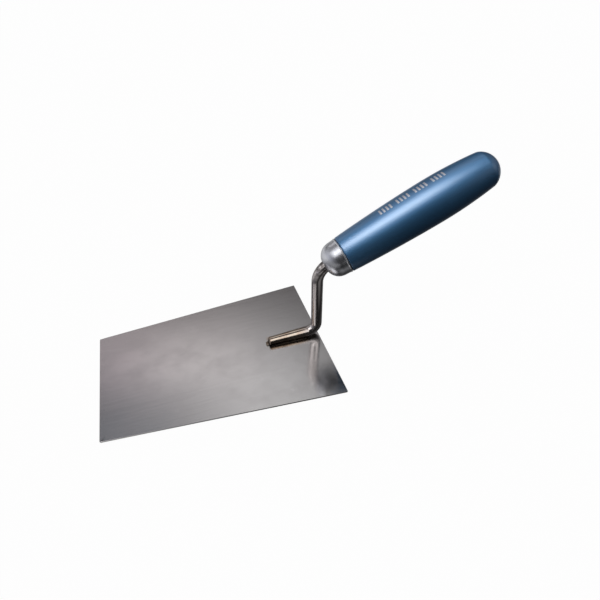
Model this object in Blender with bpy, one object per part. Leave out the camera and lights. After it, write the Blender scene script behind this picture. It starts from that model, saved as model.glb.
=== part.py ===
"""Hand trowel: flat steel blade, bent steel neck, weld fillets, domed ferrule and turned handle.

Lengths are in metres and +Z is up. The blade lies flat with the centre of its underside at the
origin and its narrow front edge towards -X. The neck rises at the wide rear edge, and the handle
climbs towards +X. Everything is symmetric about the plane y = 0.
"""

import math

import bmesh
import bpy
from mathutils import Matrix, Vector

MM = 0.001
GAP = 0.3 * MM  # clearance between pieces that touch on the real tool

# Blade: a ground sheet, wider at the back
BLADE_LENGTH = 180 * MM
BLADE_FRONT_WIDTH = 100 * MM
BLADE_REAR_WIDTH = 132 * MM
BLADE_THICKNESS = 1.2 * MM
BLADE_CORNER_RADIUS = 0.8 * MM
BLADE_CORNER_STEPS = 4
BLADE_EDGE_BEVEL = 0.12 * MM

# Handle line: where the ferrule meets the wood, and how steeply the handle climbs
HANDLE_JOIN = Vector((107.2 * MM, 0, 80.8 * MM))
HANDLE_PITCH = math.radians(26.1)

# Neck: one rod with a tapered foot, a heel bend, a riser, a crook bend and a tapered tang
NECK_RADIUS = 4.6 * MM
FOOT_TIP_RADIUS = 3.5 * MM
FOOT_TIP_X = 44.8 * MM
FOOT_SEAT = 0.85  # height of the foot's centre line above its flat seat, in radii
FOOT_TIP_SLOPE = 0.35  # how far the tip's end face leans back, per unit of height
FOOT_TIP_ROUND = 0.6 * MM
FOOT_TIP_RINGS = 3  # the rings that round the tip, which all lean back together
HEEL_X = 88.5 * MM
HEEL_BEND_RADIUS = 9 * MM
HEEL_STEPS = 12
CROOK_X = 86.7 * MM
CROOK_BEND_RADIUS = 17 * MM
CROOK_STEPS = 12
TANG_SHOULDER = -8 * MM  # stations along the handle line, measured from HANDLE_JOIN
TANG_SQUARE_FROM = 4 * MM
TANG_END = 72 * MM
TANG_END_RADIUS = 2.4 * MM
TANG_POINT = 3 * MM
ROUND_POWER = 2  # power of the section's outline where it is round, and where it is square
SQUARE_POWER = 5
NECK_SIDES = 32

# Weld fillets between the foot and the blade
WELD_LOW_ANGLE = math.radians(44)  # round the foot, measured up from straight down
WELD_HIGH_ANGLE = math.radians(68)
WELD_ARC_STEPS = 4
WELD_REACH = 1.0 * MM
WELD_LIP = 0.12 * MM
WELD_SAG = 0.18  # how far the bead's outer face is hollowed, per unit of its length
WELD_FACE_STEPS = 4
WELD_START_X = 47.0 * MM
WELD_END_X = 78 * MM
WELD_STATIONS = 12
TOE_WELD_LENGTH = 1.4 * MM
TOE_WELD_HEIGHT = 1.5 * MM
TOE_WELD_HALF_WIDTH = 2.2 * MM
TOE_WELD_STEPS = 8
TOE_WELD_TAPER = 0.6  # how much thinner the bead gets towards its two ends
TOE_WELD_HOLLOW = 0.42  # height of the middle of its outer face, per unit of its height

# Ferrule: a thin drawn cap, domed in front, with a rolled bead at the rear
FERRULE_WALL = 0.9 * MM
DOME_CENTRE = -4.5 * MM
DOME_LENGTH = 12.6 * MM
DOME_RADIUS = 14.0 * MM
DOME_POWER = 2.2
DOME_STEPS = 12
FERRULE_REAR_RADIUS = 14.25 * MM
BEAD_RADIUS = 0.65 * MM
BEAD_START = math.radians(30)
BEAD_STEPS = 7

# Handle: a barrel, fullest behind the middle, with a domed butt and a spigot in the ferrule
HANDLE_LENGTH = 130.6 * MM
HANDLE_JOIN_RADIUS = 14.55 * MM
HANDLE_MAX_RADIUS = 17.3 * MM
HANDLE_MAX_AT = 77 * MM
HANDLE_FRONT_POWER = 1.8
HANDLE_REAR_DROP = 2.64 * MM
HANDLE_REAR_SPAN = 42 * MM
BUTT_LENGTH = 10.0 * MM
BUTT_POWER = 1.75
BUTT_ROUNDNESS = 2.2
BARREL_STEPS = 20
BUTT_STEPS = 12
SHOULDER_ROUND = 0.8 * MM
SHOULDER_STEPS = 4
SPIGOT_FRONT = -12.3 * MM
SPIGOT_STEPS = 8
BORE_RADIUS = NECK_RADIUS + GAP
BORE_END = TANG_END + 4 * MM
ROUND_SIDES = 56

SMOOTH_ANGLE = math.radians(35)
MERGE = 0.001 * MM

BLADE_TOP = BLADE_THICKNESS
SEAT = BLADE_TOP + GAP


def material(name, colour, roughness, metallic):
    """A Principled material of one colour."""
    made = bpy.data.materials.new(name)
    made.use_nodes = True
    shader = made.node_tree.nodes["Principled BSDF"]
    shader.inputs["Base Color"].default_value = (*colour, 1)
    shader.inputs["Roughness"].default_value = roughness
    shader.inputs["Metallic"].default_value = metallic
    made.diffuse_color = (*colour, 1)
    return made


def finish(bm, name, look, parent=None):
    """Turn a bmesh into a named object with its faces pointing outwards and its curves smooth."""
    bmesh.ops.recalc_face_normals(bm, faces=bm.faces)
    mesh = bpy.data.meshes.new(name)
    bm.to_mesh(mesh)
    bm.free()
    mesh.shade_smooth()
    mesh.set_sharp_from_angle(angle=SMOOTH_ANGLE)
    made = bpy.data.objects.new(name, mesh)
    bpy.context.collection.objects.link(made)
    made.data.materials.append(look)
    made.parent = parent
    return made


def sweep(rings):
    """Skin a tube through a list of rings, each a list of points, and close both of its ends."""
    bm = bmesh.new()
    loops = [[bm.verts.new(point) for point in ring] for ring in rings]
    for near, far in zip(loops, loops[1:]):
        for i in range(len(near)):
            bm.faces.new((near[i - 1], near[i], far[i], far[i - 1]))
    bm.faces.new(loops[0])
    bm.faces.new(loops[-1])
    return bm


def revolve(profile):
    """Spin an outline of (radius, station) points, which starts and ends on local Z, about Z."""
    bm = bmesh.new()
    verts = [bm.verts.new((radius, 0, station)) for radius, station in profile]
    edges = [bm.edges.new(pair) for pair in zip(verts, verts[1:])]
    bmesh.ops.spin(
        bm, geom=verts + edges, axis=(0, 0, 1), cent=(0, 0, 0), dvec=(0, 0, 0),
        angle=math.tau, steps=ROUND_SIDES, use_merge=True,
    )
    bmesh.ops.remove_doubles(bm, verts=bm.verts, dist=MERGE)
    return bm


def spread(start, end, steps):
    """Evenly spaced values from start to end, both included."""
    return [start + (end - start) * i / steps for i in range(steps + 1)]


# ---- Blade -------------------------------------------------------------------------------------

def make_blade():
    """A flat trapezoid with slightly rounded corners and softened edges."""
    front, rear = BLADE_FRONT_WIDTH / 2, BLADE_REAR_WIDTH / 2
    half = BLADE_LENGTH / 2
    corners = [(-half, -front), (half, -rear), (half, rear), (-half, front)]
    bm = bmesh.new()
    base = bm.faces.new([bm.verts.new((x, y, 0)) for x, y in corners])
    grown = bmesh.ops.extrude_face_region(bm, geom=[base])["geom"]
    top = [item for item in grown if isinstance(item, bmesh.types.BMVert)]
    bmesh.ops.translate(bm, verts=top, vec=(0, 0, BLADE_THICKNESS))
    uprights = [e for e in bm.edges if abs(e.verts[0].co.z - e.verts[1].co.z) > MERGE]
    bmesh.ops.bevel(
        bm, geom=uprights, offset=BLADE_CORNER_RADIUS, segments=BLADE_CORNER_STEPS,
        profile=0.5, affect="EDGES",
    )
    blade = finish(bm, "blade", material("blade_steel", (0.55, 0.53, 0.53), 0.28, 1.0))
    bevel = blade.modifiers.new("edge", "BEVEL")
    bevel.width = BLADE_EDGE_BEVEL
    bevel.segments = 2
    bevel.limit_method = "ANGLE"
    return blade


# ---- Neck --------------------------------------------------------------------------------------

def handle_point(station):
    """The point on the handle line at a distance from the join of ferrule and wood."""
    along = Vector((math.cos(HANDLE_PITCH), 0, math.sin(HANDLE_PITCH)))
    return HANDLE_JOIN + along * station


def bend(before, corner, after, radius, steps):
    """Points of the arc that rounds a corner of the neck's centre line."""
    into = (corner - before).normalized()
    out = (after - corner).normalized()
    turn = into.angle(out)
    reach = radius * math.tan(turn / 2)
    start = corner - into * reach
    side = (out - into * out.dot(into)).normalized()
    centre = start + side * radius
    angles = spread(0, turn, steps)
    return [centre + radius * (into * math.sin(a) - side * math.cos(a)) for a in angles]


def neck_corners():
    """Tip, heel, crook and tang end: the corners of the centre line before they are rounded."""
    tip = Vector((FOOT_TIP_X, 0, SEAT + FOOT_SEAT * FOOT_TIP_RADIUS))
    heel = Vector((HEEL_X, 0, SEAT + FOOT_SEAT * NECK_RADIUS))
    crook = handle_point((CROOK_X - HANDLE_JOIN.x) / math.cos(HANDLE_PITCH))
    return tip, heel, crook, handle_point(TANG_END)


def neck_stations():
    """(point, radius, squareness) along the whole centre line."""
    tip, heel, crook, end = neck_corners()
    heel_arc = bend(tip, heel, crook, HEEL_BEND_RADIUS, HEEL_STEPS)
    crook_arc = bend(heel, crook, end, CROOK_BEND_RADIUS, CROOK_STEPS)
    foot = (heel_arc[0] - tip).normalized()
    stations = []
    for angle in spread(0, math.pi / 2, FOOT_TIP_RINGS - 1):
        point = tip + foot * FOOT_TIP_ROUND * (1 - math.cos(angle))
        stations.append((point, FOOT_TIP_RADIUS - FOOT_TIP_ROUND * (1 - math.sin(angle)), 0))
    stations += [(point, NECK_RADIUS, 0) for point in heel_arc + crook_arc]
    stations.append((handle_point(TANG_SHOULDER), NECK_RADIUS, 0))
    square_radius = tang_radius(TANG_SQUARE_FROM)
    stations.append((handle_point(TANG_SQUARE_FROM), square_radius, 1))
    stations.append((handle_point(TANG_END - TANG_POINT), tang_radius(TANG_END - TANG_POINT), 1))
    stations.append((end, TANG_END_RADIUS / 2, 1))
    return stations


def tang_radius(station):
    """Half the tang's width across its corners at a station along the handle line."""
    part = (station - TANG_SHOULDER) / (TANG_END - TANG_SHOULDER)
    return NECK_RADIUS + (TANG_END_RADIUS - NECK_RADIUS) * part


def neck_section(angle, squareness):
    """Distance to the outline of a circle, or of a soft square whose corners lie on that circle."""
    power = ROUND_POWER + (SQUARE_POWER - ROUND_POWER) * squareness
    across = abs(math.cos(angle)) ** power + abs(math.sin(angle)) ** power
    corner = 2 * math.sqrt(0.5) ** power
    return (corner / across) ** (1 / power)


def neck_rings(extra=0.0):
    """Rings of the neck's surface; extra is added all round, for the cutter of the ferrule's hole."""
    stations = neck_stations()
    points = [point for point, _, _ in stations]
    rings = []
    for i, (point, radius, squareness) in enumerate(stations):
        along = (points[min(i + 1, len(points) - 1)] - points[max(i - 1, 0)]).normalized()
        up = Vector((-along.z, 0, along.x))
        ring = []
        for step in range(NECK_SIDES):
            angle = math.tau * step / NECK_SIDES
            reach = (radius + extra) * neck_section(angle, squareness)
            ring.append(point + reach * (up * math.sin(angle) + Vector((0, math.cos(angle), 0))))
        rings.append(ring)
    return rings


def seat_foot(rings):
    """Flatten the foot's underside on to its seat and lean the tip's end face back."""
    for ring in rings:
        for point in ring:
            point.z = max(point.z, SEAT)
    for ring in rings[:FOOT_TIP_RINGS]:
        for point in ring:
            point.x += FOOT_TIP_SLOPE * (point.z - SEAT)
    return rings


def make_neck():
    """The rod from the foot on the blade to the tang inside the handle."""
    look = material("neck_steel", (0.36, 0.31, 0.29), 0.16, 1.0)
    return finish(sweep(seat_foot(neck_rings())), "neck", look)


# ---- Welds -------------------------------------------------------------------------------------

def foot_radius(x):
    """The foot's radius at a distance along the blade, full where the heel bend starts."""
    part = (x - FOOT_TIP_X) / (HEEL_X - HEEL_BEND_RADIUS - FOOT_TIP_X)
    return FOOT_TIP_RADIUS + (NECK_RADIUS - FOOT_TIP_RADIUS) * min(part, 1)


def foot_centre(x):
    """The height of the foot's centre line, which runs straight from the tip to the heel's corner."""
    part = (x - FOOT_TIP_X) / (HEEL_X - FOOT_TIP_X)
    return SEAT + FOOT_SEAT * (FOOT_TIP_RADIUS + (NECK_RADIUS - FOOT_TIP_RADIUS) * part)


def weld_section(x, side):
    """The bead's outline across the foot: round the foot, down its hollow face, along the blade."""
    radius = foot_radius(x) + GAP
    centre = foot_centre(x)
    angles = spread(WELD_LOW_ANGLE, WELD_HIGH_ANGLE, WELD_ARC_STEPS)
    outline = [(radius * math.sin(a), centre - radius * math.cos(a)) for a in angles]
    top = outline[-1]
    edge = (top[0] + WELD_REACH, SEAT + WELD_LIP)
    length = math.hypot(edge[0] - top[0], edge[1] - top[1])
    for part in spread(0, 1, WELD_FACE_STEPS)[1:]:
        sag = WELD_SAG * length * math.sin(math.pi * part)
        y = top[0] + (edge[0] - top[0]) * part - sag * (top[1] - edge[1]) / length
        z = top[1] + (edge[1] - top[1]) * part - sag * (edge[0] - top[0]) / length
        outline.append((y, z))
    outline.append((edge[0], SEAT))
    outline.append((outline[0][0], SEAT))
    return [Vector((x, side * y, z)) for y, z in outline]


def make_side_weld(name, side, look):
    """A fillet bead in the corner between the blade and one side of the foot."""
    stations = spread(WELD_START_X, WELD_END_X, WELD_STATIONS)
    return finish(sweep([weld_section(x, side) for x in stations]), name, look)


def make_toe_weld(look):
    """A short bead across the front end of the foot, thickest in the middle."""
    rings = []
    back = FOOT_TIP_X - GAP
    for part in spread(-1, 1, TOE_WELD_STEPS):
        full = math.sqrt(1 - TOE_WELD_TAPER * part * part)
        height = TOE_WELD_HEIGHT * full
        front = back - TOE_WELD_LENGTH * full
        outline = [
            (back, SEAT),
            (back + FOOT_TIP_SLOPE * height, SEAT + height),
            ((back + front) / 2, SEAT + TOE_WELD_HOLLOW * height),
            (front, SEAT + WELD_LIP),
            (front, SEAT),
        ]
        rings.append([Vector((x, part * TOE_WELD_HALF_WIDTH, z)) for x, z in outline])
    return finish(sweep(rings), "weld_toe", look)


# ---- Ferrule -----------------------------------------------------------------------------------

def dome_outline(inset):
    """The dome as (radius, station), from the axis back to its full width, inset all round."""
    outline = []
    for angle in spread(0, math.pi / 2, DOME_STEPS):
        radius = (DOME_RADIUS - inset) * math.sin(angle) ** (2 / DOME_POWER)
        station = DOME_CENTRE - (DOME_LENGTH - inset) * math.cos(angle) ** (2 / DOME_POWER)
        outline.append((radius, station))
    return outline


def bead_outline():
    """The rolled bead at the ferrule's rear edge, from where it leaves the cap to the rear face."""
    centre = FERRULE_REAR_RADIUS - BEAD_RADIUS * math.sin(BEAD_START)
    return [
        (centre + BEAD_RADIUS * math.sin(a), -BEAD_RADIUS * (1 + math.cos(a)))
        for a in spread(BEAD_START, math.pi, BEAD_STEPS)
    ]


def make_ferrule(parent):
    """The cap, with its hole cut to the neck plus a clearance."""
    inner_rear = FERRULE_REAR_RADIUS - FERRULE_WALL
    outline = dome_outline(0) + bead_outline() + [(inner_rear, 0)]
    outline += reversed(dome_outline(FERRULE_WALL))
    look = material("ferrule_steel", (0.62, 0.62, 0.64), 0.3, 1.0)
    ferrule = finish(revolve(outline), "ferrule", look, parent)
    cutter = finish(sweep(neck_rings(extra=GAP)), "neck_hole_cutter", look)
    cutter.hide_render = True
    cutter.display_type = "WIRE"
    hole = ferrule.modifiers.new("neck_hole", "BOOLEAN")
    hole.operation = "DIFFERENCE"
    hole.object = cutter
    return ferrule


# ---- Handle ------------------------------------------------------------------------------------

def handle_radius(station):
    """The barrel's radius, falling away from its fullest point towards both ends."""
    if station < HANDLE_MAX_AT:
        part = (HANDLE_MAX_AT - station) / HANDLE_MAX_AT
        return HANDLE_MAX_RADIUS - (HANDLE_MAX_RADIUS - HANDLE_JOIN_RADIUS) * part ** HANDLE_FRONT_POWER
    part = (station - HANDLE_MAX_AT) / HANDLE_REAR_SPAN
    return HANDLE_MAX_RADIUS - HANDLE_REAR_DROP * part * part


def spigot_outline():
    """The turned-down front of the wood, which follows the inside of the ferrule."""
    wall = FERRULE_WALL + GAP
    outline = []
    for station in spread(SPIGOT_FRONT, DOME_CENTRE, SPIGOT_STEPS):
        part = (DOME_CENTRE - station) / (DOME_LENGTH - wall)
        radius = (DOME_RADIUS - wall) * (1 - part ** DOME_POWER) ** (1 / DOME_POWER)
        outline.append((radius, station))
    outline.append((FERRULE_REAR_RADIUS - wall, GAP))
    return outline


def shoulder_outline():
    """The rounded step from the spigot out to the barrel."""
    centre = HANDLE_JOIN_RADIUS - SHOULDER_ROUND, GAP + SHOULDER_ROUND
    return [
        (centre[0] + SHOULDER_ROUND * math.sin(a), centre[1] - SHOULDER_ROUND * math.cos(a))
        for a in spread(0, math.pi / 2, SHOULDER_STEPS)
    ]


def handle_outline():
    """Bore, spigot, shoulder, barrel and domed butt, from the bore's bottom round to the butt."""
    outline = [(0, BORE_END), (TANG_END_RADIUS + GAP, TANG_END)]
    outline += [(BORE_RADIUS, TANG_SHOULDER), (BORE_RADIUS, SPIGOT_FRONT)]
    outline += spigot_outline() + shoulder_outline()
    butt_start = HANDLE_LENGTH - BUTT_LENGTH
    barrel = spread(GAP + SHOULDER_ROUND, butt_start, BARREL_STEPS)
    outline += [(handle_radius(station), station) for station in barrel[1:]]
    for angle in spread(0, math.pi / 2, BUTT_STEPS)[1:-1]:
        part = math.sin(angle) ** (2 / BUTT_POWER)
        station = butt_start + BUTT_LENGTH * part
        rounding = math.cos(angle) ** (2 / BUTT_ROUNDNESS)
        outline.append((handle_radius(station) * rounding, station))
    outline.append((0, HANDLE_LENGTH))
    return outline


def make_handle(parent):
    """The lacquered wooden grip."""
    look = material("blue_lacquer", (0.05, 0.17, 0.36), 0.18, 0.4)
    return finish(revolve(handle_outline()), "handle", look, parent)


def main():
    for old in list(bpy.data.objects):
        bpy.data.objects.remove(old, do_unlink=True)

    handle_line = bpy.data.objects.new("handle_line", None)
    bpy.context.collection.objects.link(handle_line)
    tilt = Matrix.Rotation(math.pi / 2 - HANDLE_PITCH, 4, "Y")
    handle_line.matrix_world = Matrix.Translation(HANDLE_JOIN) @ tilt

    make_blade()
    make_neck()
    weld_look = material("weld_steel", (0.42, 0.38, 0.35), 0.45, 1.0)
    make_side_weld("weld_left", 1, weld_look)
    make_side_weld("weld_right", -1, weld_look)
    make_toe_weld(weld_look)
    make_ferrule(handle_line)
    make_handle(handle_line)


main()
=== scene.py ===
"""The looks of the hand trowel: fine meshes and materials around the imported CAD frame.

Lengths are in metres in the CAD's own frame: the blade lies on z = 0, with its narrow front edge
towards -X, and the handle climbs towards +X. Every piece stands for one CAD node, and its places
and sizes are measured from that node.
"""

import math

import bmesh
import bpy
import numpy as np
from mathutils import Matrix, Vector, noise


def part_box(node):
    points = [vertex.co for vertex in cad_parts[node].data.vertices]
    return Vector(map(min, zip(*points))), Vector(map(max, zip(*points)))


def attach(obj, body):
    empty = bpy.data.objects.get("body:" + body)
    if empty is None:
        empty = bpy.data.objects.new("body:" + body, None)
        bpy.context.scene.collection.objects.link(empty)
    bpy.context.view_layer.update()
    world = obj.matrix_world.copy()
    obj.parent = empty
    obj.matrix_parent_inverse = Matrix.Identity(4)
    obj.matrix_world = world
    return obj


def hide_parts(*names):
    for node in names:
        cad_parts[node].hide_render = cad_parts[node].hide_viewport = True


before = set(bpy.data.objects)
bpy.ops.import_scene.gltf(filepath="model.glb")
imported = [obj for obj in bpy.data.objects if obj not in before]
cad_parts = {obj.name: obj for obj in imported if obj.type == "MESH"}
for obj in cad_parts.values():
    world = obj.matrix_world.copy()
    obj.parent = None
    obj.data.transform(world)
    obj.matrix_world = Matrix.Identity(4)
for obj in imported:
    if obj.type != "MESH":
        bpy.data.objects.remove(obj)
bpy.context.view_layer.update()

MM = 0.001
SMOOTH_ANGLE = math.radians(32)

# Fine sizes that the CAD leaves out
OUTLINE_STEP = 0.08 * MM  # nearer points of a measured outline count as one
OUTLINE_SLACK = 0.01 * MM  # a point this close to an outline or a side counts as on it
SMOOTH_STEP = 0.8 * MM  # longest step along a smooth outline or rod
SEAM = 0.001 * MM  # points closer than this are joined where a turned shape meets its axis
CAD_SEAM = 0.002 * MM  # the same for the corners of a CAD node
CAD_FLAT = math.radians(0.05)  # CAD faces that meet at less than this become one
CUT_SLACK = 0.0001 * MM  # corners this near to a slicing plane count as on it
ROUND_SIDES = 144
ROD_SIDES = 64
FORGE_SWELL = 0.035 * MM  # how far the rod's forged surface wanders
FORGE_SIZE = 7 * MM
TIP_LEAN = 0.35  # how far the foot's end face leans back, per unit of height
TIP_ROUND = 0.6 * MM
TIP_RINGS = 6
TIP_REACH = 2 * MM  # the foot's tip is measured over this length
TANG_REACH = 4 * MM  # and the tang's end over this one
FERRULE_HOLE = 5.7 * MM  # the cap's outline is measured outside this radius
FERRULE_WALL = 0.9 * MM
FERRULE_STEP = 0.4 * MM
CLEARANCE = 0.3 * MM  # round the neck, in the ferrule and in the handle
BLADE_GRID = 4 * MM
BLADE_SHARP = math.radians(12)
BLADE_SWELL = 0.05 * MM  # how far the sheet wanders from flat
BLADE_SWELL_SIZE = 55 * MM
SLIVER = 0.004 * MM  # edges shorter than this go after a cut
WELD_SLICE = 0.3 * MM
WELD_RIPPLE = 0.11 * MM
WELD_RIPPLE_PITCH = 1.5 * MM
WELD_RIPPLE_LEAN = 0.4  # ripples a bead's top lags behind its base
WELD_STILL = 0.02  # the lowest share of a bead's height, which doesn't ripple
ALONG_X, ALONG_Y = 0, 1

# The printed row of plain bars on the handle's upper side, as stations along the handle
BARS_START = 37 * MM
BARS_END = 95 * MM
BARS_PITCH = 2.9 * MM
BARS_GROUP = 5  # bars and the gap that follows them
BARS_FILLED = 0.5
BARS_HALF_HEIGHT = 2.7 * MM
BARS_OFFSET = -1.2 * MM  # from the upper side's middle, positive towards -Y

# Scratches on the blade, as parts of the noise that they wander through
SCRATCH_CORE = 0.0006
SCRATCH_EDGE = 0.0016

# How far the weld's heat has tinted the blade
HALO_INSIDE = 1.6 * MM
HALO_OUTSIDE = 4 * MM
HALO_UNEVEN = 2 * MM

# Where the foot's heat tint fades towards the heel, the heights where the painted shade on the foot's
# lower side fades out, and where the scale near the top fades in
NECK_UNEVEN = 3 * MM  # how far all of these wander
NECK_WARM = 70 * MM
NECK_COOL = 82 * MM
FOOT_SHADE_LOW = 3.2 * MM
FOOT_SHADE_HIGH = 5.2 * MM
SCALE_TOP = 64 * MM
SCALE_FADE = 6 * MM

# The ferrule's rear bead, which is painted lighter as a highlight, as stations along the handle, and
# how far scuffs reach in from the handle's ends
BEAD_START = -1.7 * MM
BEAD_FULL = -1.1 * MM
SCUFF_REAR = 16 * MM
SCUFF_FRONT = 5 * MM
SCUFF_FRONT_FULL = 1 * MM


# ---- Measuring the frame -----------------------------------------------------------------------

def cad_points(node):
    """The corners of a CAD node, each once, as rows of x, y and z."""
    corners = np.array([vertex.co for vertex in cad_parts[node].data.vertices])
    return np.unique(corners.round(7), axis=0)


def measure_handle_line():
    """A matrix at the join of ferrule and wood: Z runs along the handle and X is its upper side."""
    wood = cad_points("handle")
    centre = wood.mean(axis=0)
    along = Vector(np.linalg.eigh(np.cov((wood - centre).T))[1][:, 2])
    if along.x < 0:
        along.negate()
    rear = ((cad_points("ferrule") - centre) @ np.array(along)).max()
    side = Vector((0, -1, 0))
    turn = Matrix((side.cross(along), side, along)).transposed()
    return Matrix.Translation(Vector(centre) + along * rear) @ turn.to_4x4()


def turned_outline(node):
    """(radius, station) down the outside of a turned CAD node, from front to rear."""
    to_line = np.array(HANDLE_LINE.inverted())
    local = cad_points(node) @ to_line[:3, :3].T + to_line[:3, 3]
    radii = np.hypot(local[:, 0], local[:, 1])
    order = np.argsort(local[:, 2])
    stations, radii = local[order, 2], radii[order]
    ahead = np.maximum.accumulate(radii)
    behind = np.maximum.accumulate(radii[::-1])[::-1]
    outline = []
    for station, radius, shade in zip(stations, radii, np.minimum(ahead, behind)):
        point = Vector((radius, station))
        outside = radius > shade - OUTLINE_SLACK
        if outside and (not outline or (point - outline[-1]).length > OUTLINE_STEP):
            outline.append(point)
    return outline


def smooth_line(points, step=SMOOTH_STEP):
    """A smooth curve through points, in steps no longer than step; long straight runs stay straight."""
    spans = [after - before for before, after in zip(points, points[1:])]
    pulls = [span.normalized() * span.length_squared for span in spans]
    pulls = [pulls[0]] + [a + b for a, b in zip(pulls, pulls[1:])] + [pulls[-1]]
    curve = [points[0].copy()]
    for i, span in enumerate(spans):
        cuts = max(1, math.ceil(span.length / step))
        leave = pulls[i].normalized() * span.length
        arrive = pulls[i + 1].normalized() * span.length
        for cut in range(1, cuts + 1):
            t = cut / cuts
            curve.append(
                points[i] * (2 * t ** 3 - 3 * t ** 2 + 1) + leave * (t ** 3 - 2 * t ** 2 + t)
                + points[i + 1] * (3 * t ** 2 - 2 * t ** 3) + arrive * (t ** 3 - t ** 2)
            )
    return curve


HANDLE_LINE = measure_handle_line()
HANDLE_LENGTH = turned_outline("handle")[-1].y


# ---- Mesh helpers ------------------------------------------------------------------------------

def place_object(name, data):
    """A new object in the scene that holds a mesh, a light or a camera."""
    made = bpy.data.objects.new(name, data)
    bpy.context.scene.collection.objects.link(made)
    return made


def make_object(name, bm):
    """Turn a bmesh into an object with its faces pointing outwards."""
    bmesh.ops.recalc_face_normals(bm, faces=bm.faces)
    mesh = bpy.data.meshes.new(name)
    bm.to_mesh(mesh)
    bm.free()
    return place_object(name, mesh)


def cut_away(piece, bm):
    """Cut the shape of a bmesh out of a piece, leaving no sliver faces along the cut."""
    cutter = make_object("cutter", bm)
    cut = piece.modifiers.new("cut", "BOOLEAN")
    cut.operation = "DIFFERENCE"
    cut.object = cutter
    whole = piece.data
    evaluated = piece.evaluated_get(bpy.context.evaluated_depsgraph_get())
    piece.data = bpy.data.meshes.new_from_object(evaluated)
    piece.modifiers.clear()
    piece.data.name = piece.name
    bpy.data.meshes.remove(whole)
    bpy.data.objects.remove(cutter)
    clean = bmesh.new()
    clean.from_mesh(piece.data)
    bmesh.ops.triangulate(clean, faces=[face for face in clean.faces if len(face.verts) > 4])
    bmesh.ops.dissolve_degenerate(clean, dist=SLIVER, edges=clean.edges)
    clean.to_mesh(piece.data)
    clean.free()


def finish_piece(piece, look, node, sharp=SMOOTH_ANGLE):
    """Shade an object smooth up to an angle and let it stand for a CAD node."""
    piece.data.materials.clear()
    piece.data.materials.append(look)
    piece.data.shade_smooth()
    piece.data.set_sharp_from_angle(angle=sharp)
    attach(piece, "root")
    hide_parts(node)


def skin(rings):
    """Faces between neighbouring rings of points, with both ends closed."""
    bm = bmesh.new()
    loops = [[bm.verts.new(point) for point in ring] for ring in rings]
    for near, far in zip(loops, loops[1:]):
        for i in range(len(near)):
            bm.faces.new((near[i - 1], near[i], far[i], far[i - 1]))
    bm.faces.new(loops[0])
    bm.faces.new(loops[-1])
    return bm


def turn_outline(outline):
    """Spin (radius, station) points about the handle line, from the axis back to the axis."""
    bm = bmesh.new()
    verts = [bm.verts.new((radius, 0, station)) for radius, station in outline]
    edges = [bm.edges.new(pair) for pair in zip(verts, verts[1:])]
    bmesh.ops.spin(
        bm, geom=verts + edges, axis=(0, 0, 1), cent=(0, 0, 0), dvec=(0, 0, 0),
        angle=math.tau, steps=ROUND_SIDES, use_merge=True,
    )
    bmesh.ops.remove_doubles(bm, verts=bm.verts, dist=SEAM)
    bm.transform(HANDLE_LINE)
    return bm


def sliced_copy(node, pitches):
    """A welded copy of a CAD node, cut across each axis that has a pitch."""
    bm = bmesh.new()
    bm.from_mesh(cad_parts[node].data)
    bmesh.ops.remove_doubles(bm, verts=bm.verts, dist=CAD_SEAM)
    bmesh.ops.dissolve_limit(bm, angle_limit=CAD_FLAT, verts=bm.verts, edges=bm.edges)
    low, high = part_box(node)
    for axis, pitch in enumerate(pitches):
        if not pitch:
            continue
        count = round((high[axis] - low[axis]) / pitch)
        across = Vector([float(i == axis) for i in range(3)])
        for i in range(1, count):
            place = across * (low[axis] + (high[axis] - low[axis]) * i / count)
            geometry = bm.verts[:] + bm.edges[:] + bm.faces[:]
            bmesh.ops.bisect_plane(
                bm, geom=geometry, plane_co=place, plane_no=across, dist=CUT_SLACK,
            )
    bm.normal_update()
    return bm


# ---- Shader helpers ----------------------------------------------------------------------------

def new_look(name):
    """A material with an empty Principled shader, as (material, tree, shader)."""
    look = bpy.data.materials.new(name)
    look.use_nodes = True
    return look, look.node_tree, look.node_tree.nodes["Principled BSDF"]


def add(tree, kind, inputs=(), out=0, **settings):
    """Add a shader node, set it up, wire or fill its inputs, and give back one of its outputs."""
    node = tree.nodes.new("ShaderNode" + kind)
    for name, value in settings.items():
        setattr(node, name, value)
    for socket, value in dict(inputs).items():
        fill(tree, node.inputs[socket], value)
    return node.outputs[out]


def fill(tree, socket, value):
    """Wire a socket to an output, or give it a plain value."""
    if isinstance(value, bpy.types.NodeSocket):
        tree.links.new(value, socket)
    elif socket.type == "RGBA" and len(value) == 3:
        socket.default_value = (*value, 1)
    else:
        socket.default_value = value


def math_node(tree, operation, a, b=0.0):
    """The result of one sum on numbers."""
    return add(tree, "Math", {0: a, 1: b}, operation=operation)


def frame_place(tree):
    """A surface point in the CAD's frame, in metres."""
    return add(tree, "TexCoord", out="Object")


def line_place(tree):
    """A surface point seen from the handle line: X to the upper side, Z along the handle."""
    inputs = {"Vector": frame_place(tree), "Location": HANDLE_LINE.translation,
              "Rotation": HANDLE_LINE.to_euler()}
    return add(tree, "Mapping", inputs, vector_type="TEXTURE")


def noise_node(tree, place, stretch, detail=2.0, roughness=0.5, distortion=0.0):
    """Noise from 0 to 1 whose spots have these lengths along X, Y and Z of a place."""
    scale = [1 / length for length in stretch]
    inputs = {
        "Vector": add(tree, "VectorMath", {0: place, 1: scale}, operation="MULTIPLY"),
        "Scale": 1.0, "Detail": detail, "Roughness": roughness, "Distortion": distortion,
    }
    return add(tree, "TexNoise", inputs)


def between(tree, value, low, high, start=0.0, end=1.0):
    """Move a value from the range low to high into the range start to end, held at both ends."""
    inputs = {"Value": value, "From Min": low, "From Max": high, "To Min": start, "To Max": end}
    return add(tree, "MapRange", inputs)


def spots(tree, place, size, low, high, detail=3.0):
    """Soft-edged round spots of noise: 0 below low, 1 above high."""
    return between(tree, noise_node(tree, place, (size,) * 3, detail), low, high)


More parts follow.
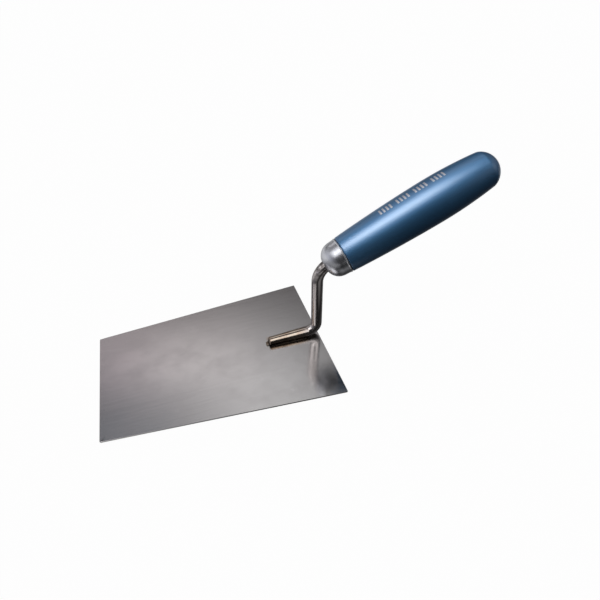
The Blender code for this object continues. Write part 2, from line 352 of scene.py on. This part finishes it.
def mix(tree, part, first, second):
    """A colour between two colours, through the mix node's own sockets for colours."""
    node = tree.nodes.new("ShaderNodeMix")
    node.data_type = "RGBA"
    fill(tree, node.inputs[0], part)
    fill(tree, node.inputs[6], first)
    fill(tree, node.inputs[7], second)
    return node.outputs[2]


def bump(tree, height, distance, below=None):
    """A normal bent by a height from 0 to 1 that stands for a depth in metres."""
    inputs = {"Height": height, "Distance": distance, "Strength": 1.0}
    if below is not None:
        inputs["Normal"] = below
    return add(tree, "Bump", inputs)


# ---- Materials ---------------------------------------------------------------------------------

def outside_box(tree, place, low, high):
    """How far a point lies outside a box, seen from above."""
    middle, half = (low + high) / 2, (high - low) / 2
    away = add(tree, "VectorMath", {0: place, 1: middle}, operation="SUBTRACT")
    away = add(tree, "VectorMath", {0: away}, operation="ABSOLUTE")
    away = add(tree, "VectorMath", {0: away, 1: half}, operation="SUBTRACT")
    away = add(tree, "VectorMath", {0: away, 1: (0, 0, 0)}, operation="MAXIMUM")
    away = add(tree, "VectorMath", {0: away, 1: (1, 1, 0)}, operation="MULTIPLY")
    return add(tree, "VectorMath", {0: away}, out="Value", operation="LENGTH")


def blade_look():
    """Ground spring steel: fine lines along the blade, stains, scratches and a heat tint at the weld."""
    look, tree, shader = new_look("ground_blade_steel")
    place = frame_place(tree)
    fine = noise_node(tree, place, (60 * MM, 0.25 * MM, 5 * MM), detail=3)
    broad = noise_node(tree, place, (140 * MM, 2.2 * MM, 5 * MM), detail=2)
    stain = noise_node(tree, place, (26 * MM, 20 * MM, 26 * MM), detail=4, roughness=0.6)
    lines = math_node(tree, "ADD", math_node(tree, "MULTIPLY", fine, 0.8),
                      math_node(tree, "MULTIPLY", broad, 0.2))
    steel = mix(tree, between(tree, lines, 0.35, 0.65), (0.54, 0.53, 0.53), (0.60, 0.59, 0.59))
    steel = mix(tree, between(tree, stain, 0.45, 0.75, 0, 0.3), steel, (0.50, 0.48, 0.48))
    wander = noise_node(tree, place, (34 * MM, 30 * MM, 30 * MM), detail=2, distortion=0.6)
    scratch = between(tree, math_node(tree, "ABSOLUTE", math_node(tree, "SUBTRACT", wander, 0.5)),
                      SCRATCH_CORE, SCRATCH_EDGE, 0.5, 0)
    scratch = math_node(tree, "MULTIPLY", scratch, spots(tree, place, 14 * MM, 0.52, 0.6))
    steel = mix(tree, scratch, steel, (0.72, 0.71, 0.71))
    low = Vector([min(pair) for pair in zip(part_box("weld_left")[0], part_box("weld_right")[0])])
    high = Vector([max(pair) for pair in zip(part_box("weld_left")[1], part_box("weld_right")[1])])
    heat = outside_box(tree, place, low, high)
    heat = math_node(tree, "ADD", heat, math_node(tree, "MULTIPLY", stain, HALO_UNEVEN))
    steel = mix(tree, between(tree, heat, HALO_INSIDE, HALO_OUTSIDE, 0.7, 0), steel, (0.42, 0.31, 0.22))
    fill(tree, shader.inputs["Base Color"], steel)
    shader.inputs["Metallic"].default_value = 1
    rough = between(tree, lines, 0.3, 0.7, 0.11, 0.17)
    rough = math_node(tree, "ADD", rough, between(tree, stain, 0.4, 0.8, 0, 0.05))
    fill(tree, shader.inputs["Roughness"], rough)
    shader.inputs["Anisotropic"].default_value = 0.75
    fill(tree, shader.inputs["Tangent"], add(tree, "CombineXYZ", {"Y": 1.0}))
    fill(tree, shader.inputs["Normal"], bump(tree, fine, 0.0012 * MM))
    return look


def neck_look():
    """Polished steel with painted shade along the foot's lower side and forging scale near the top,
    turned straw and bronze by the weld's heat.
    """
    look, tree, shader = new_look("polished_neck_steel")
    place = frame_place(tree)
    parts = add(tree, "SeparateXYZ", {0: place}).node.outputs
    lines = noise_node(tree, place, (0.3 * MM, 0.3 * MM, 16 * MM), detail=2)
    patch = noise_node(tree, place, (8 * MM,) * 3, detail=4, roughness=0.6)
    uneven = between(tree, patch, 0, 1, -NECK_UNEVEN, NECK_UNEVEN)
    level = math_node(tree, "ADD", parts["Z"], uneven)
    warm = between(tree, math_node(tree, "ADD", parts["X"], uneven), NECK_WARM, NECK_COOL, 0.8, 0)
    # Painted shade: below these heights the foot's lower side is coloured near-black, standing in for
    # the shade on its near side
    foot_painted_shade = between(tree, level, FOOT_SHADE_LOW, FOOT_SHADE_HIGH, 0.9, 0)
    top_scale = between(tree, level, SCALE_TOP, SCALE_TOP + SCALE_FADE, 0, 0.75)
    # scale holds both the foot's painted shade and the scale near the top
    scale = math_node(tree, "MAXIMUM", foot_painted_shade,
                      math_node(tree, "MULTIPLY", top_scale, spots(tree, place, 3 * MM, 0.45, 0.6)))
    steel = mix(tree, between(tree, lines, 0.35, 0.65), (0.47, 0.435, 0.425), (0.56, 0.52, 0.51))
    heat = mix(tree, between(tree, patch, 0.4, 0.6), (0.50, 0.37, 0.27), (0.66, 0.55, 0.44))
    steel = mix(tree, warm, steel, heat)
    # the foot's painted shade and the top's scale are both mixed in here as near-black
    steel = mix(tree, scale, steel, (0.035, 0.028, 0.023))
    fill(tree, shader.inputs["Base Color"], steel)
    shader.inputs["Metallic"].default_value = 1
    rough = math_node(tree, "ADD", between(tree, patch, 0.3, 0.7, 0.13, 0.21),
                      math_node(tree, "MULTIPLY", scale, 0.2))
    fill(tree, shader.inputs["Roughness"], rough)
    rings = bump(tree, lines, 0.0008 * MM)
    fill(tree, shader.inputs["Normal"], bump(tree, patch, 0.015 * MM, rings))
    return look


def weld_look(name, dark, brown):
    """Weld metal with brown heat patches on a darker ground and a few bright crowns; the ground given to
    the side beads is painted shade.
    """
    look, tree, shader = new_look(name)
    place = frame_place(tree)
    burnt = spots(tree, place, 1.8 * MM, 0.4, 0.6)
    bright = spots(tree, place, 0.8 * MM, 0.55, 0.7, detail=2)
    metal = mix(tree, burnt, dark, brown)
    metal = mix(tree, math_node(tree, "MULTIPLY", bright, 0.4), metal, (0.36, 0.33, 0.30))
    fill(tree, shader.inputs["Base Color"], metal)
    shader.inputs["Metallic"].default_value = 1
    fill(tree, shader.inputs["Roughness"], between(tree, burnt, 0, 1, 0.38, 0.55))
    pits = noise_node(tree, place, (0.35 * MM,) * 3, detail=2)
    fill(tree, shader.inputs["Normal"], bump(tree, pits, 0.015 * MM))
    return look


def ferrule_look():
    """Satin metal with fine turned lines round the cap, cloudy patches and a rear bead painted lighter
    as a highlight.
    """
    look, tree, shader = new_look("satin_ferrule_metal")
    place = line_place(tree)
    station = add(tree, "SeparateXYZ", {0: place}, out="Z")
    turned = noise_node(tree, place, (30 * MM, 30 * MM, 0.18 * MM), detail=2)
    cloud = noise_node(tree, place, (7 * MM,) * 3, detail=4, roughness=0.6)
    bead = between(tree, station, BEAD_START, BEAD_FULL)
    metal = mix(tree, between(tree, turned, 0.35, 0.65), (0.62, 0.63, 0.67), (0.69, 0.70, 0.745))
    metal = mix(tree, between(tree, cloud, 0.45, 0.7, 0, 0.4), metal, (0.56, 0.57, 0.62))
    # Painted highlight: the rear bead is coloured lighter than the rest of the cap
    metal = mix(tree, bead, metal, (0.74, 0.75, 0.78))
    fill(tree, shader.inputs["Base Color"], metal)
    shader.inputs["Metallic"].default_value = 1
    rough = math_node(tree, "ADD", between(tree, turned, 0.3, 0.7, 0.28, 0.34),
                      between(tree, cloud, 0.4, 0.7, 0, 0.05))
    fill(tree, shader.inputs["Roughness"], rough)
    lines = bump(tree, turned, 0.0006 * MM)
    fill(tree, shader.inputs["Normal"], bump(tree, cloud, 0.004 * MM, lines))
    return look


def printed_bars(tree, place):
    """1 on the printed bars along the handle's upper side, 0 elsewhere."""
    parts = add(tree, "SeparateXYZ", {0: place}).node.outputs
    run = math_node(tree, "SUBTRACT", parts["Z"], BARS_START)
    across = math_node(tree, "SUBTRACT", parts["Y"], BARS_OFFSET)
    share = math_node(tree, "FRACT", math_node(tree, "DIVIDE", run, BARS_PITCH))
    group = math_node(tree, "FRACT", math_node(tree, "DIVIDE", run, BARS_PITCH * BARS_GROUP))
    tests = [
        math_node(tree, "LESS_THAN", share, BARS_FILLED),
        math_node(tree, "LESS_THAN", group, 1 - 1 / BARS_GROUP),
        math_node(tree, "GREATER_THAN", run, 0.0),
        math_node(tree, "LESS_THAN", run, BARS_END - BARS_START),
        math_node(tree, "LESS_THAN", math_node(tree, "ABSOLUTE", across), BARS_HALF_HEIGHT),
        math_node(tree, "GREATER_THAN", parts["X"], 0.0),
    ]
    mask = tests[0]
    for test in tests[1:]:
        mask = math_node(tree, "MULTIPLY", mask, test)
    return mask


def handle_look():
    """Blue metallic lacquer over turned wood: grain, flakes, orange peel, scuffs and printed bars."""
    look, tree, shader = new_look("blue_metallic_lacquer")
    place = line_place(tree)
    station = add(tree, "SeparateXYZ", {0: place}, out="Z")
    grain = noise_node(tree, place, (1.2 * MM, 1.2 * MM, 40 * MM), detail=3)
    cloud = noise_node(tree, place, (20 * MM, 20 * MM, 45 * MM), detail=3)
    flakes = spots(tree, place, 0.18 * MM, 0.55, 0.7, detail=1)
    rear_end = between(tree, station, HANDLE_LENGTH - SCUFF_REAR, HANDLE_LENGTH)
    front_end = between(tree, station, SCUFF_FRONT, SCUFF_FRONT_FULL)
    ends = math_node(tree, "MAXIMUM", rear_end, front_end)
    scuffs = math_node(tree, "MULTIPLY", ends, spots(tree, place, 2.5 * MM, 0.55, 0.66, detail=6))
    bars = printed_bars(tree, place)
    blue = mix(tree, between(tree, cloud, 0.35, 0.65), (0.030, 0.170, 0.370), (0.038, 0.20, 0.42))
    blue = mix(tree, between(tree, grain, 0.4, 0.7, 0, 0.25), blue, (0.022, 0.12, 0.275))
    blue = mix(tree, math_node(tree, "MULTIPLY", flakes, 0.3), blue, (0.10, 0.30, 0.58))
    blue = mix(tree, math_node(tree, "MULTIPLY", scuffs, 0.5), blue, (0.10, 0.20, 0.33))
    blue = mix(tree, math_node(tree, "MULTIPLY", bars, 0.9), blue, (0.68, 0.68, 0.72))
    fill(tree, shader.inputs["Base Color"], blue)
    shader.inputs["Metallic"].default_value = 0.9
    shader.inputs["Roughness"].default_value = 0.57
    shader.inputs["Coat Weight"].default_value = 1
    shader.inputs["Coat IOR"].default_value = 1.95
    peel = noise_node(tree, place, (2.6 * MM, 2.6 * MM, 3.4 * MM), detail=2)
    coat_rough = math_node(tree, "ADD", between(tree, cloud, 0.3, 0.7, 0.33, 0.39),
                           math_node(tree, "MULTIPLY", scuffs, 0.12))
    fill(tree, shader.inputs["Coat Roughness"], coat_rough)
    wood = bump(tree, grain, 0.02 * MM)
    fill(tree, shader.inputs["Normal"], wood)
    fill(tree, shader.inputs["Coat Normal"], bump(tree, peel, 0.012 * MM, wood))
    return look


# ---- Blade -------------------------------------------------------------------------------------

def swell(point, size, height):
    """How far a surface wanders at a point: smooth noise of this size, up to this height."""
    return noise.noise(point / size) * height


def make_blade():
    """The ground sheet, which is very slightly uneven, so that what it mirrors wavers."""
    bm = sliced_copy("blade", (BLADE_GRID, BLADE_GRID, None))
    for vert in bm.verts:
        flat = Vector((vert.co.x, vert.co.y, 0))
        vert.co.z += abs(swell(flat, BLADE_SWELL_SIZE, BLADE_SWELL))
    blade = make_object("blade_sheet", bm)
    finish_piece(blade, blade_look(), "blade", sharp=BLADE_SHARP)


# ---- Neck --------------------------------------------------------------------------------------

def neck_path():
    """Centre line of the rod as (x, y, z, radius), from the foot's tip to the tang's end."""
    points = cad_points("neck")
    full = points[:, 1].max()
    sides = points[points[:, 1] > full - OUTLINE_SLACK]
    sides = sides[np.argsort(sides[:, 2])]
    low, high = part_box("neck")
    near_tip = points[points[:, 0] < low.x + TIP_REACH]
    tip_radius = near_tip[:, 1].max()
    tip_height = near_tip[near_tip[:, 1].argmax(), 2]
    tang = points[points[:, 0] > high.x - TANG_REACH]
    end = tang.mean(axis=0)
    path = [Vector((low.x, 0, tip_height, tip_radius))]
    path += [Vector((x, 0, z, full)) for x, _, z in sides]
    path.append(Vector((end[0], 0, end[2], tang[:, 1].max())))
    return smooth_line(path)


def neck_stations():
    """The neck's path with its first stations drawn in, so that the foot's tip is rounded."""
    path = neck_path()
    start = path[0]
    stations = []
    for i in range(TIP_RINGS + 1):
        angle = math.pi / 2 * i / TIP_RINGS
        ahead, inward = TIP_ROUND * (1 - math.cos(angle)), TIP_ROUND * (1 - math.sin(angle))
        stations.append(start + Vector((ahead, 0, 0, -inward)))
    return stations + [station for station in path if station.x > start.x + 2 * TIP_ROUND]


def neck_rings(extra=0.0):
    """Rings of the rod's surface, flat under its foot, with a leaning end face; extra widens it."""
    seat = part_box("neck")[0].z
    stations = neck_stations()
    rings = []
    for i, station in enumerate(stations):
        before, after = stations[max(i - 1, 0)], stations[min(i + 1, len(stations) - 1)]
        along = (after - before).to_3d().normalized()
        up = Vector((-along.z, 0, along.x))
        ring = []
        for side in range(ROD_SIDES):
            angle = math.tau * side / ROD_SIDES
            out = up * math.sin(angle) + Vector((0, math.cos(angle), 0))
            point = station.to_3d() + out * (station.w + extra)
            point += out * swell(point, FORGE_SIZE, FORGE_SWELL)
            point.z = max(point.z, seat)
            if i <= TIP_RINGS:
                point.x += TIP_LEAN * (point.z - seat)
            ring.append(point)
        rings.append(ring)
    return rings


def make_neck():
    """The forged rod from the foot on the blade to the tang in the handle."""
    finish_piece(make_object("neck_rod", skin(neck_rings())), neck_look(), "neck")


# ---- Welds -------------------------------------------------------------------------------------

def make_weld(name, node, axis, look):
    """A fillet bead whose outer face ripples along an axis like a row of overlapping scales."""
    bm = sliced_copy(node, [WELD_SLICE if i == axis else None for i in range(3)])
    low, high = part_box(node)
    moves = []
    for vert in bm.verts:
        rise = (vert.co.z - low.z) / (high.z - low.z)
        along = vert.co[axis] + WELD_RIPPLE_LEAN * rise * WELD_RIPPLE_PITCH
        ripple = abs(math.sin(math.pi * along / WELD_RIPPLE_PITCH)) - 0.5
        facing = max(vert.normal.z, 0) * (rise > WELD_STILL)
        moves.append(vert.normal * ripple * WELD_RIPPLE * facing)
    for vert, move in zip(bm.verts, moves):
        vert.co += move
    finish_piece(make_object(name, bm), look, node)


def make_welds():
    """The two side beads, painted near-black as shade with brown heat patches, and the straw-coloured
    bead across the toe.
    """
    # Painted shade: the side beads' near-black ground stands in for the shade along the foot's near side
    burnt = weld_look("burnt_weld", dark=(0.035, 0.03, 0.027), brown=(0.10, 0.07, 0.05))
    straw = weld_look("straw_weld", dark=(0.20, 0.15, 0.11), brown=(0.46, 0.37, 0.29))
    make_weld("weld_bead_left", "weld_left", ALONG_X, burnt)
    make_weld("weld_bead_right", "weld_right", ALONG_X, burnt)
    make_weld("weld_bead_toe", "weld_toe", ALONG_Y, straw)


# ---- Ferrule and handle ------------------------------------------------------------------------

def make_ferrule():
    """The drawn cap with its rolled rear bead, hollow inside, with a hole for the neck.

    The cap's first two outline points carry the dome on to its axis, and the neck then cuts the hole.
    """
    outline = [point for point in turned_outline("ferrule") if point.x > FERRULE_HOLE]
    first, second = outline[:2]
    bow = (second.y - first.y) / (second.x ** 2 - first.x ** 2)
    nose = Vector((0, first.y - bow * first.x ** 2))
    outer = smooth_line([nose] + outline, FERRULE_STEP)
    widest = max(point.x for point in outer)
    dome = [point for point in outer if point.y < outer[-1].y - 2 * FERRULE_WALL]
    inner = [Vector((max(point.x - FERRULE_WALL, 0), point.y + FERRULE_WALL * (1 - point.x / widest)))
             for point in dome]
    inner[0].x = 0
    mouth = Vector((inner[-1].x, outer[-1].y))
    ferrule = make_object("ferrule_cap", turn_outline(outer + [mouth] + inner[::-1]))
    cut_away(ferrule, skin(neck_rings(extra=CLEARANCE)))
    finish_piece(ferrule, ferrule_look(), "ferrule")


def make_handle():
    """The lacquered barrel with its domed butt, and the spigot inside the ferrule."""
    outline = turned_outline("handle")
    spigot = [point for point in outline if point.y < 0]
    barrel = smooth_line([point for point in outline if point.y > 0])
    corner = Vector((spigot[-1].x, barrel[0].y))
    closed = [Vector((0, spigot[0].y))] + spigot + [corner] + barrel
    handle = make_object("handle_grip", turn_outline(closed))
    cut_away(handle, skin(neck_rings(extra=CLEARANCE)))
    finish_piece(handle, handle_look(), "handle")


# ---- Studio ------------------------------------------------------------------------------------

# Soft lights in the sky, which the camera doesn't see: compass angle from +Y towards +X, height
# above the horizon, tightness, and colour times strength. The window's lights end at a straight edge.
WINDOW_LIGHTS = [
    ((-18, 46.6, 240), (0.24, 0.19, 0.21)),
    ((-12, 47.8, 240), (0.36, 0.32, 0.325)),
    ((-4.5, 49.2, 240), (0.53, 0.50, 0.495)),
    ((5, 50.2, 240), (0.32, 0.295, 0.29)),
]
WINDOW_EDGE = (14, -36.7)  # the direction square to the edge, on the window's side
WINDOW_SOFTNESS = 0.006
SKY_LIGHTS = [
    ((15, 58, 45), (0.80, 0.81, 0.81)),  # over the far side, mirrored in the blade
    ((-22, 57, 80), (0.12, 0.155, 0.18)),  # a cooler glow to the left of it
    ((-5, 50, 12), (0.09, 0.07, 0.075)),  # haze round the window
    ((-85, 5, 6), (0.57, 0.58, 0.64)),  # a pale wall at the left
    ((-116, 64, 60), (3.2, 3.2, 3.2)),  # the middle of the upper left box, in ferrule and heel
    ((-18, 30, 150), (1.6, 1.6, 1.6)),  # a small lamp behind
    ((-51, 17, 12), (0.35, 0.35, 0.35)),  # haze low down between the lamp and the wall
    ((0, 4, 30), (0.3, 0.3, 0.3)),  # this and the next two are pale walls for other views
    ((122, 36, 17), (0.75, 0.75, 0.76)),
    ((75, 32, 20), (0.3, 0.3, 0.31)),
]
SKY_BASE = 0.015  # the rest of the sky
BACKDROP = (0.98, 0.98, 0.98)  # what the camera sees in its place

# The floor as the camera sees it: mostly its own glow, with a little paint that takes shadows
FLOOR_HALF = 12.0  # half its width
FLOOR_GAP = 0.05 * MM  # below the blade, so that the two faces don't touch
FLOOR_GLOW = 0.972
FLOOR_PAINT = 0.05

# The floor as the trowel mirrors it: dark, but pale behind, at the left and in a near patch
FLOOR_UNLIT = 0.02
BEHIND_START, BEHIND_FULL, BEHIND_GLOW = -0.02, 0.12, 0.5
LEFT_START, LEFT_FULL, LEFT_GLOW = 0.05, -0.06, 0.3
PATCH_CENTRE = Vector((0.12, -0.09, 0))
PATCH_INSIDE, PATCH_OUTSIDE, PATCH_GLOW = 0.02, 0.06, 0.22

# Soft boxes that metal and lacquer mirror: compass angle, height above the horizon, distance,
# width, height, watts, spread in degrees, and the pieces that each one lights
SOFT_BOXES = {
    "grip_box": (-113, 71, 0.5, 0.42, 0.42, 0.38, 60, ["handle_grip"]),
    "cap_box": (-104, 56, 0.9, 0.8, 0.7, 1.5, 180, ["ferrule_cap"]),
    "neck_box": (-100, 47, 0.9, 0.9, 1.1, 4.1, 180, ["neck_rod"]),
    "blade_box": (-101, 44, 0.9, 0.8, 0.32, 1.0, 180, ["blade_sheet"]),
    "foot_box": (166, 50, 0.5, 0.4, 0.5, 0.85, 180, ["neck_rod"]),
}
SOFT_BOX_AIM = Vector((0.125, 0, 0.09))


def compass(azimuth, elevation):
    """The direction at a compass angle from +Y towards +X and a height above the horizon."""
    a, e = math.radians(azimuth), math.radians(elevation)
    return Vector((math.sin(a) * math.cos(e), math.cos(a) * math.cos(e), math.sin(e)))


def add_lights(tree, direction, lights):
    """The sum of soft round lights in the sky."""
    total = (0, 0, 0)
    for (azimuth, elevation, tightness), colour in lights:
        toward = add(tree, "VectorMath", {0: direction, 1: compass(azimuth, elevation)},
                     out="Value", operation="DOT_PRODUCT")
        falloff = math_node(tree, "MULTIPLY", math_node(tree, "SUBTRACT", toward, 1.0), tightness)
        glow = add(tree, "VectorMath", {0: colour, "Scale": math_node(tree, "EXPONENT", falloff)},
                   operation="SCALE")
        total = add(tree, "VectorMath", {0: total, 1: glow}, operation="ADD")
    return total


def make_sky():
    """A plain pale backdrop for the camera, and soft lights for everything else."""
    world = bpy.data.worlds.new("studio")
    bpy.context.scene.world = world
    world.use_nodes = True
    tree = world.node_tree
    tree.nodes.clear()
    direction = add(tree, "TexCoord", out="Generated")
    inside = add(tree, "VectorMath", {0: direction, 1: compass(*WINDOW_EDGE)},
                 out="Value", operation="DOT_PRODUCT")
    inside = between(tree, inside, -WINDOW_SOFTNESS, WINDOW_SOFTNESS)
    window = add(tree, "VectorMath", {0: add_lights(tree, direction, WINDOW_LIGHTS), "Scale": inside},
                 operation="SCALE")
    total = add(tree, "VectorMath", {0: window, 1: add_lights(tree, direction, SKY_LIGHTS)},
                operation="ADD")
    total = add(tree, "VectorMath", {0: total, 1: (SKY_BASE,) * 3}, operation="ADD")
    camera_ray = add(tree, "LightPath", out="Is Camera Ray")
    shader = add(tree, "Background", {"Color": mix(tree, camera_ray, total, BACKDROP), "Strength": 1.0})
    output = tree.nodes.new("ShaderNodeOutputWorld")
    tree.links.new(shader, output.inputs["Surface"])


def mirrored_floor(tree):
    """How bright the floor looks in metal and lacquer."""
    place = frame_place(tree)
    parts = add(tree, "SeparateXYZ", {0: place}).node.outputs
    away = add(tree, "VectorMath", {0: place, 1: PATCH_CENTRE}, out="Value", operation="DISTANCE")
    behind = between(tree, parts["Y"], BEHIND_START, BEHIND_FULL, FLOOR_UNLIT, BEHIND_GLOW)
    left = between(tree, parts["X"], LEFT_START, LEFT_FULL, 0, LEFT_GLOW)
    patch = between(tree, away, PATCH_INSIDE, PATCH_OUTSIDE, PATCH_GLOW, 0)
    return math_node(tree, "ADD", math_node(tree, "ADD", behind, left), patch)


def make_floor():
    """A large floor, pale for the camera and mostly dark in what the trowel mirrors."""
    bm = bmesh.new()
    bmesh.ops.create_grid(bm, x_segments=2, y_segments=2, size=FLOOR_HALF)
    floor = make_object("floor", bm)
    floor.location.z = -FLOOR_GAP
    look = bpy.data.materials.new("pale_floor")
    look.use_nodes = True
    tree = look.node_tree
    tree.nodes.clear()
    lit = add(tree, "BsdfDiffuse", {"Color": (FLOOR_PAINT,) * 3})
    glow = add(tree, "Emission", {"Strength": FLOOR_GLOW})
    pale = add(tree, "AddShader", {0: lit, 1: glow})
    paths = add(tree, "LightPath").node.outputs
    strength = mix(tree, paths["Is Diffuse Ray"], mirrored_floor(tree), (FLOOR_UNLIT,) * 3)
    dark = add(tree, "Emission", {"Color": strength})
    shader = add(tree, "MixShader", {0: paths["Is Camera Ray"], 1: dark, 2: pale})
    output = tree.nodes.new("ShaderNodeOutputMaterial")
    tree.links.new(shader, output.inputs["Surface"])
    floor.data.materials.append(look)


def make_soft_boxes():
    """The area lights, each seen only as a reflection in the pieces that it names."""
    for name, settings in SOFT_BOXES.items():
        azimuth, elevation, distance, width, height, power, spread, pieces = settings
        data = bpy.data.lights.new(name, "AREA")
        data.shape = "RECTANGLE"
        data.size = width
        data.size_y = height
        data.energy = power
        data.spread = math.radians(spread)
        light = place_object(name, data)
        light.visible_diffuse = False
        toward = compass(azimuth, elevation)
        light.location = SOFT_BOX_AIM + toward * distance
        light.rotation_mode = "QUATERNION"
        light.rotation_quaternion = toward.to_track_quat("Z", "Y")
        lit = bpy.data.collections.new("lit_by_" + name)
        for piece in pieces:
            lit.objects.link(bpy.data.objects[piece])
        light.light_linking.receiver_collection = lit


# ---- Camera ------------------------------------------------------------------------------------

CAMERA_AZIMUTH = -19.91  # from -Y towards +X, in degrees
CAMERA_ELEVATION = 42.56
CAMERA_ROLL = 1.19
CAMERA_DISTANCE = 334.75 * MM
CAMERA_AIM = Vector((72.89 * MM, 0, 44.01 * MM))
CAMERA_LENS = 25.11  # this and the sensor's width are in millimetres
CAMERA_SENSOR = 36
CAMERA_NEAR = 10 * MM  # nothing closer than this is seen


def make_camera():
    """The view of the photograph: from above the blade's near side, close, with a wide lens."""
    azimuth, elevation, roll = map(math.radians, (CAMERA_AZIMUTH, CAMERA_ELEVATION, CAMERA_ROLL))
    data = bpy.data.cameras.new("camera")
    data.sensor_width = CAMERA_SENSOR
    data.lens = CAMERA_LENS
    data.clip_start = CAMERA_NEAR
    camera = place_object("camera", data)
    turn = Matrix.Rotation(azimuth, 4, "Z") @ Matrix.Rotation(math.pi / 2 - elevation, 4, "X")
    turn = turn @ Matrix.Rotation(roll, 4, "Z")
    back = turn.to_3x3() @ Vector((0, 0, 1))
    camera.matrix_world = Matrix.Translation(CAMERA_AIM + back * CAMERA_DISTANCE) @ turn
    bpy.context.scene.camera = camera


# ---- The whole scene ---------------------------------------------------------------------------

make_blade()
make_neck()
make_welds()
make_ferrule()
make_handle()
make_sky()
make_floor()
make_soft_boxes()
make_camera()
bpy.context.scene.view_settings.view_transform = "Standard"
